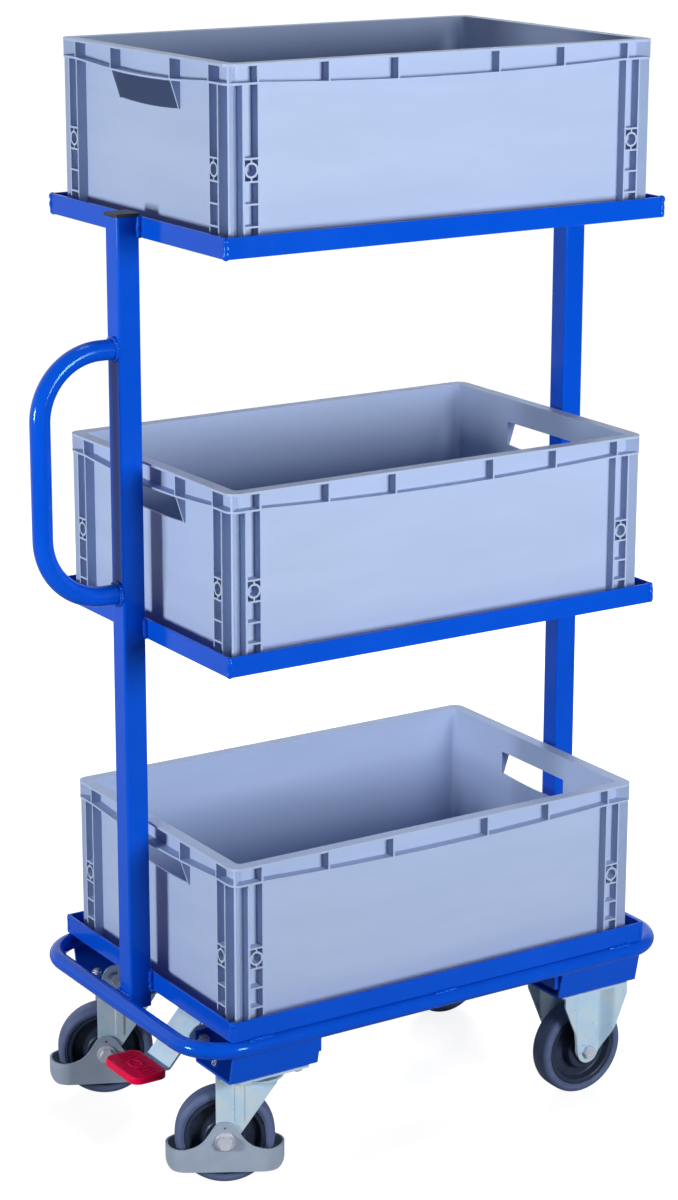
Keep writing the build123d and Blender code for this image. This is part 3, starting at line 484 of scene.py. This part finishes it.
def cheekOut(along):
    panelHalf, wingHalf = fixedFork["panelHalf"], fixedFork["wingHalf"]
    share = min(1.0, max(0.0, (abs(along) - panelHalf) / (wingHalf - panelHalf)))
    flare = fixedFork["width"] / 2 - fixedFork["inset"] - fixedFork["panel"]
    return fixedFork["panel"] + flare * share * share * (3 - 2 * share)  # an even S curve


def forkCheek():
    bpy.ops.mesh.primitive_grid_add(x_subdivisions=fixedFork["columns"],
                                    y_subdivisions=fixedFork["rows"], size=2)
    obj = bpy.context.object
    foot = wheelSize["radius"] - fixedFork["end"]
    top = fixedFork["top"] - fixedFork["sheet"] + fixedFork["inset"]
    for vertex in obj.data.vertices:
        height = foot + (top - foot) * ((vertex.co.y + 1) / 2) ** fixedFork["crowding"]
        along = vertex.co.x * cheekHalf(height)
        vertex.co = Vector((along, -cheekOut(along), height)) * mm
    openMesh(obj)
    mergeClose(meshing["merge"])
    bpy.ops.mesh.normals_make_consistent(inside=False)
    closeMesh()
    outwards = obj.data.polygons[len(obj.data.polygons) // 2].normal.y < 0
    applyModifier(obj, "SOLIDIFY", thickness=fixedFork["sheet"] * mm, offset=-1 if outwards else 1)
    return obj


def forkPlate():
    bpy.ops.mesh.primitive_cube_add(size=1)
    obj = bpy.context.object
    obj.dimensions = [fixedFork[key] * mm for key in ("length", "width", "sheet")]
    obj.location.z = (fixedFork["top"] - fixedFork["sheet"] / 2) * mm
    bakePlace(obj)
    bpy.ops.object.mode_set(mode="EDIT")
    bpy.ops.mesh.select_mode(type="EDGE")
    bpy.ops.mesh.select_all(action="DESELECT")
    closeMesh()
    for edge in obj.data.edges:  # the four upright edges
        edge.select = abs(edgeSpan(obj, edge).z) > fixedFork["sheet"] / 2 * mm
    bpy.ops.object.mode_set(mode="EDIT")
    bpy.ops.mesh.bevel(offset=fixedFork["corner"] * mm, segments=fixedFork["cornerSteps"])
    bpy.ops.mesh.select_mode(type="VERT")
    closeMesh()
    return obj


for hand in hands:
    near, far, plate = forkCheek(), forkCheek(), forkPlate()
    far.matrix_basis = Matrix.Rotation(math.pi, 4, "Z")
    bakePlace(far)
    activate(plate)
    near.select_set(True)
    far.select_set(True)
    bpy.ops.object.join()
    plate.name = f"{hand}_fixed_fork_finish"
    crossHole(plate, fixedFork["axleHole"], wheelSize["radius"])
    easeEdges(plate, fixedFork["edge"], fixedFork["edgeSteps"])
    centre = joints[f"{hand}_fixed_wheel_roll"]["pos_m"]
    placeAt(plate, (centre[0], centre[1], 0))
    smoothShade(plate, meshing["madeSmooth"])
    node = f"{hand}_fixed_fork"
    dress(plate, bodyOf[node], slotOf[node], node)
print("fixed forks done")


# Wheels, spun from a profile of (radius, across) in millimetres

# bead: up from the seat and in from the side
tyre = {"half": 16.0, "seat": 50.5, "shoulder": 7.0, "shoulderSteps": 6, "shoulderDrop": 0.3,
        "crownDrop": 0.1, "crownShare": 0.3,
        "bead": ((0.0, 2.6), (0.8, 1.2), (2.0, 0.7), (2.6, 1.1), (3.4, 0.2))}
# hubFace: out from the hub's radius and in from its face; webFoot: out from the hub and up from
# the web; webEdge and rimFace: out from the rim's inside, and up from the web or in from the
# rim's face; rimEdge: out from the rim's radius and in from its face
core = {"rim": 50.5, "rimHalf": 14.0, "rimInside": 42.5, "web": 4.5, "hub": 26.0,
        "hubHalf": 20.0, "bore": 10.0,
        "hubFace": ((-9.0, 0.0), (-8.2, 0.8), (-6.6, 0.8), (-5.8, 0.0), (-1.6, 0.0), (0.0, 1.6)),
        "webFoot": ((0.6, 4.0), (2.2, 1.6), (4.6, 1.0)),
        "webEdge": ((-3.2, 0.0), (-1.2, 0.8), (0.0, 3.0)),
        "rimFace": ((1.6, 1.2), (2.8, 0.2), (4.2, 0.0)),
        "rimEdge": ((-0.6, 0.0), (-0.1, 0.6))}


def spunPiece(name, profile, centre, axle):
    bpy.ops.mesh.primitive_plane_add(size=mm)
    obj = bpy.context.object
    obj.name = name
    openMesh(obj)
    bpy.ops.mesh.merge(type="CENTER")
    place = Vector((0, 0, 0))
    for radius, across in profile + profile[:1]:
        step = Vector((0, across * mm, radius * mm)) - place
        if place.length == 0:
            bpy.ops.transform.translate(value=step)
        else:
            bpy.ops.mesh.extrude_vertices_move(TRANSFORM_OT_translate={"value": step})
        place += step
    mergeClose(meshing["merge"])
    bpy.ops.mesh.select_all(action="SELECT")
    bpy.ops.mesh.spin(steps=wheelSize["spinSteps"], angle=math.tau, center=(0, 0, 0),
                      axis=sideways, use_auto_merge=True)
    mergeClose(meshing["merge"])
    bpy.ops.mesh.normals_make_consistent(inside=False)
    closeMesh()
    placeAt(obj, centre, axle)
    smoothShade(obj, meshing["madeSmooth"])
    return obj


def bothSides(half):
    return half + [(radius, -across) for radius, across in reversed(half)]


def roundedCorner(radius, across, size, steps):
    # a quarter circle from the side wall to the tread
    turns = [math.radians(90 * step / steps) for step in range(steps + 1)]
    return [(radius - size + size * math.sin(t), across - size + size * math.cos(t)) for t in turns]


def inwardSteps(radius, face, steps):
    return [(radius + out, face - inward) for out, inward in steps]


def upwardSteps(radius, web, steps):
    return [(radius + out, web + up) for out, up in steps]


tyreProfile = bothSides(
    inwardSteps(tyre["seat"], tyre["half"], tyre["bead"])
    + roundedCorner(wheelSize["radius"] - tyre["shoulderDrop"], tyre["half"], tyre["shoulder"],
                    tyre["shoulderSteps"])
    + [(wheelSize["radius"] - tyre["crownDrop"], tyre["half"] * tyre["crownShare"]),
       (wheelSize["radius"], 0.0)])
coreProfile = bothSides(
    [(core["bore"], core["hubHalf"])]
    + inwardSteps(core["hub"], core["hubHalf"], core["hubFace"])
    + upwardSteps(core["hub"], core["web"], core["webFoot"])
    + upwardSteps(core["rimInside"], core["web"], core["webEdge"])
    + inwardSteps(core["rimInside"], core["rimHalf"], core["rimFace"])
    + inwardSteps(core["rim"], core["rimHalf"], core["rimEdge"]))

for hand in hands:
    for kind in casterKinds:
        wheel = f"{hand}_{kind}_wheel"
        roll = joints[f"{wheel}_roll"]
        centre = Vector(roll["pos_m"])
        axle = Vector(roll["axis"]).normalized()
        obj = spunPiece(f"{hand}_{kind}_tyre_finish", tyreProfile, centre, axle)
        dress(obj, wheel, "tyre_rubber", f"{hand}_{kind}_tyre")
        obj = spunPiece(f"{hand}_{kind}_wheel_core_finish", coreProfile, centre, axle)
        dress(obj, wheel, "core_plastic", f"{hand}_{kind}_wheel_core")
print("wheels done")


# Weld beads: a row of overlapping drops, melted into one lump and painted over

weld = {"pitch": 2.2, "wander": 0.5, "spread": 0.16, "melt": 0.55, "seed": 7,
        "segments": 12, "rings": 8, "softness": 0.5, "soften": 4}
wander = random.Random(weld["seed"])
outwardOf = {"handle": -1, "far": 1, "right": -1, "left": 1}


def weldBead(name, spots, drop, soften=weld["soften"]):
    drops = []
    for spot in spots:
        size = drop * (1 + wander.uniform(-1, 1) * weld["spread"]) * mm
        jitter = Vector([wander.uniform(-1, 1) * weld["wander"] * mm for axis in range(3)])
        bpy.ops.mesh.primitive_uv_sphere_add(segments=weld["segments"], ring_count=weld["rings"],
                                             radius=size, location=Vector(spot) + jitter)
        drops.append(bpy.context.object)
    for obj in drops:
        obj.select_set(True)
    bpy.context.view_layer.objects.active = drops[0]
    bpy.ops.object.join()
    bead = bpy.context.object
    bead.name = name
    bpy.ops.object.transform_apply(location=True, rotation=True, scale=True)
    applyModifier(bead, "REMESH", mode="VOXEL", voxel_size=weld["melt"] * mm)
    applyModifier(bead, "SMOOTH", factor=weld["softness"], iterations=soften)
    activate(bead)
    bpy.ops.object.shade_smooth()
    dress(bead, "frame", "blue_paint")


def rowSpots(start, end, pitch=weld["pitch"]):
    start, end = Vector(start), Vector(end)
    count = max(2, round((end - start).length / (pitch * mm)))
    return [start.lerp(end, step / count) for step in range(count + 1)]


def ringSpots(centre, radius, count):
    turns = [math.tau * step / count for step in range(count)]
    return [Vector(centre) + Vector((0, math.cos(t), math.sin(t))) * radius for t in turns]


postWelds = {"drop": 4.2, "trim": 2.5, "proud": 1.0}
cornerWelds = {"drop": 4.4, "trim": 3.4, "pitch": 1.1, "sunk": 3.1, "soften": 14}
posts = {"handle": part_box("handle_post"), "far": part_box("far_post")}
for shelf in shelves:
    for end, (low, high) in posts.items():
        railLow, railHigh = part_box(f"{shelf}_{end}_end_rail")
        face = railLow.x if end == "handle" else railHigh.x
        x = face + outwardOf[end] * postWelds["proud"] * mm
        for side, y in (("right", low.y), ("left", high.y)):
            spots = rowSpots((x, y, railLow.z + postWelds["trim"] * mm),
                             (x, y, railHigh.z - postWelds["trim"] * mm))
            weldBead(f"{shelf}_{end}_post_{side}_weld", spots, postWelds["drop"])
    rightLow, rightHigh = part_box(f"{shelf}_right_rail")
    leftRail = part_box(f"{shelf}_left_rail")
    for side, railY in (("right", rightLow.y), ("left", leftRail[1].y)):
        for end, railX in (("handle", rightLow.x), ("far", rightHigh.x)):
            x = railX - outwardOf[end] * cornerWelds["sunk"] * mm
            y = railY - outwardOf[side] * cornerWelds["sunk"] * mm
            spots = rowSpots((x, y, rightLow.z + cornerWelds["trim"] * mm),
                             (x, y, rightHigh.z - cornerWelds["trim"] * mm), cornerWelds["pitch"])
            weldBead(f"{shelf}_{side}_{end}_corner_weld", spots, cornerWelds["drop"],
                     cornerWelds["soften"])

handleWelds = {"drop": 3.0, "count": 28, "tube": 12.5, "outside": 0.6, "proud": 1.0}
gripLow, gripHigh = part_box("push_handle")
x = posts["handle"][0].x - handleWelds["proud"] * mm
for name, z in (("lower", gripLow.z + handleWelds["tube"] * mm),
                ("upper", gripHigh.z - handleWelds["tube"] * mm)):
    radius = (handleWelds["tube"] + handleWelds["outside"]) * mm
    weldBead(f"{name}_handle_weld", ringSpots((x, 0, z), radius, handleWelds["count"]),
             handleWelds["drop"])

ringWelds = {"drop": 2.8, "tube": 10.65, "riseShare": 0.72, "postProud": 1.6, "postReach": 14.0,
             "railProud": 1.4, "railReach": 15.0, "railSunk": 0.6, "railSpacing": 272.0}
ringLow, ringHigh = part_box("bumper_ring")
ringMid = (ringLow.z + ringHigh.z) / 2
reach = Vector((0, ringWelds["postReach"] * mm, 0))
for end, face in (("handle", posts["handle"][0].x), ("far", posts["far"][1].x)):
    for name, sign in (("upper", 1), ("lower", -1)):
        rise = sign * ringWelds["tube"] * ringWelds["riseShare"]
        x = face + outwardOf[end] * ringWelds["postProud"] * mm
        spot = Vector((x, 0, ringMid + rise * mm))
        spots = rowSpots(spot - reach, spot + reach)
        weldBead(f"{end}_ring_post_{name}_weld", spots, ringWelds["drop"])
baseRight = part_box("base_right_rail")
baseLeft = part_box("base_left_rail")
middleX = (baseRight[0].x + baseRight[1].x) / 2
reach = Vector((ringWelds["railReach"] * mm, 0, 0))
for side, face in (("right", baseRight[0].y), ("left", baseLeft[1].y)):
    for name, share in (("handle", -1), ("middle", 0), ("far", 1)):
        x = middleX + share * ringWelds["railSpacing"] * mm
        y = face + outwardOf[side] * ringWelds["railProud"] * mm
        spot = Vector((x, y, ringHigh.z - ringWelds["railSunk"] * mm))
        spots = rowSpots(spot - reach, spot + reach)
        weldBead(f"{side}_{name}_ring_rail_weld", spots, ringWelds["drop"])
print("welds done")


# Floor, light and camera, in metres

stage = {"size": 40.0, "colour": 0.30, "roughness": 0.9,
         "nearGlow": 0.86, "nearReach": (0.6, 2.4), "sweepGlow": 0.6, "sweepReach": (0.4, 2.6),
         "world": 0.13, "mirrorFront": 0.15, "mirrorReach": (0.0, 0.6)}
white = (1, 1, 1, 1)


def combined(tree, operation, first, second):
    node = tree.nodes.new("ShaderNodeMath")
    node.operation = operation
    for socket, value in zip(node.inputs, (first, second)):
        if isinstance(value, float):
            socket.default_value = value
        else:
            tree.links.new(value, socket)
    return node.outputs["Value"]


def cameraRay(tree):
    return tree.nodes.new("ShaderNodeLightPath").outputs["Is Camera Ray"]


def mirroredRay(tree):
    path = tree.nodes.new("ShaderNodeLightPath")
    return combined(tree, "MAXIMUM", path.outputs["Is Glossy Ray"],
                    path.outputs["Is Transmission Ray"])


def depthOf(tree, place):
    parts = tree.nodes.new("ShaderNodeSeparateXYZ")
    tree.links.new(place, parts.inputs["Vector"])
    return parts.outputs["Y"]


def floorFinish():
    grey = (stage["colour"], stage["colour"], stage["colour"], 1)
    finish, tree, shader = newFinish("paleFloor", Base_Color=grey, Roughness=stage["roughness"],
                                     Specular_IOR_Level=0.0, Emission_Color=white)
    finish.cycles.emission_sampling = "NONE"
    place = coordinate(tree, "Object")
    away = tree.nodes.new("ShaderNodeVectorMath")
    away.operation = "LENGTH"
    tree.links.new(place, away.inputs[0])
    nearness = ramp(tree, away.outputs["Value"], *stage["nearReach"], stage["nearGlow"], 1.0)
    seen = combined(tree, "MULTIPLY", cameraRay(tree), nearness)
    # in a mirror, the sweep behind the object is paler than the room in front
    sweep = ramp(tree, depthOf(tree, place), *stage["sweepReach"], 0.0, stage["sweepGlow"])
    mirrored = combined(tree, "MULTIPLY", mirroredRay(tree), sweep)
    glow = combined(tree, "ADD", seen, mirrored)
    tree.links.new(glow, shader.inputs["Emission Strength"])
    return finish


bpy.ops.mesh.primitive_plane_add(size=stage["size"])
floor = bpy.context.object
floor.name = "studio_floor"
floor.data.materials.append(floorFinish())

world = bpy.data.worlds.new("studioWorld")
bpy.context.scene.world = world
world.use_nodes = True
tree = world.node_tree
background = tree.nodes["Background"]
background.inputs["Color"].default_value = white
depth = depthOf(tree, coordinate(tree, "Generated"))
sweep = ramp(tree, depth, *stage["mirrorReach"], stage["mirrorFront"], 1.0)
mirrored = combined(tree, "MULTIPLY", mirroredRay(tree), sweep)
shown = combined(tree, "MAXIMUM", cameraRay(tree), mirrored)
strength = combined(tree, "MAXIMUM", shown, stage["world"])
tree.links.new(strength, background.inputs["Strength"])

lamps = {  # soft boxes; spread in degrees, power in watts
    "frontLamp": {"place": (0.45, -2.95, 1.25), "target": (0.05, 0.0, 1.15), "width": 0.9,
                  "height": 0.9, "spread": 130, "power": 45, "inHighlights": True},
    "sideLamp": {"place": (-3.3, 0.05, 1.0), "target": (0.0, 0.0, 1.0), "width": 0.5,
                 "height": 0.6, "spread": 130, "power": 43, "inHighlights": True},
    "topLamp": {"place": (0.3, 0.2, 3.6), "target": (0.0, 0.0, 0.8), "width": 1.0,
                "height": 1.0, "spread": 180, "power": 17, "inHighlights": True},
    "backLamp": {"place": (2.3, 2.6, 1.50), "target": (0.0, 0.0, 0.8), "width": 1.2,
                 "height": 1.3, "spread": 150, "power": 88, "inHighlights": False},
}
for name, box in lamps.items():
    lamp = bpy.data.lights.new(name, "AREA")
    lamp.shape = "RECTANGLE"
    lamp.size = box["width"]
    lamp.size_y = box["height"]
    lamp.spread = math.radians(box["spread"])
    lamp.energy = box["power"]
    holder = bpy.data.objects.new(name, lamp)
    bpy.context.scene.collection.objects.link(holder)
    holder.visible_glossy = box["inHighlights"]
    holder.location = box["place"]
    aim = Vector(box["target"]) - Vector(box["place"])
    holder.rotation_euler = aim.to_track_quat("-Z", "Y").to_euler()

photoView = {"eye": (-1.97387, -3.13091, 1.71755), "azimuth": -32.504, "elevation": 15.644,
             "roll": 0.0848, "lens": 91.33, "sensor": 36.0}
lensData = bpy.data.cameras.new("photoCamera")
lensData.lens = photoView["lens"]
lensData.sensor_width = photoView["sensor"]
camera = bpy.data.objects.new("photoCamera", lensData)
bpy.context.scene.collection.objects.link(camera)
turn = Matrix.Rotation(math.radians(photoView["azimuth"]), 4, "Z")
tilt = Matrix.Rotation(math.radians(90 - photoView["elevation"]), 4, "X")
roll = Matrix.Rotation(math.radians(photoView["roll"]), 4, "Z")
camera.matrix_world = Matrix.Translation(photoView["eye"]) @ turn @ tilt @ roll
bpy.context.scene.camera = camera
bpy.context.scene.view_settings.view_transform = "Standard"
print("stage done")
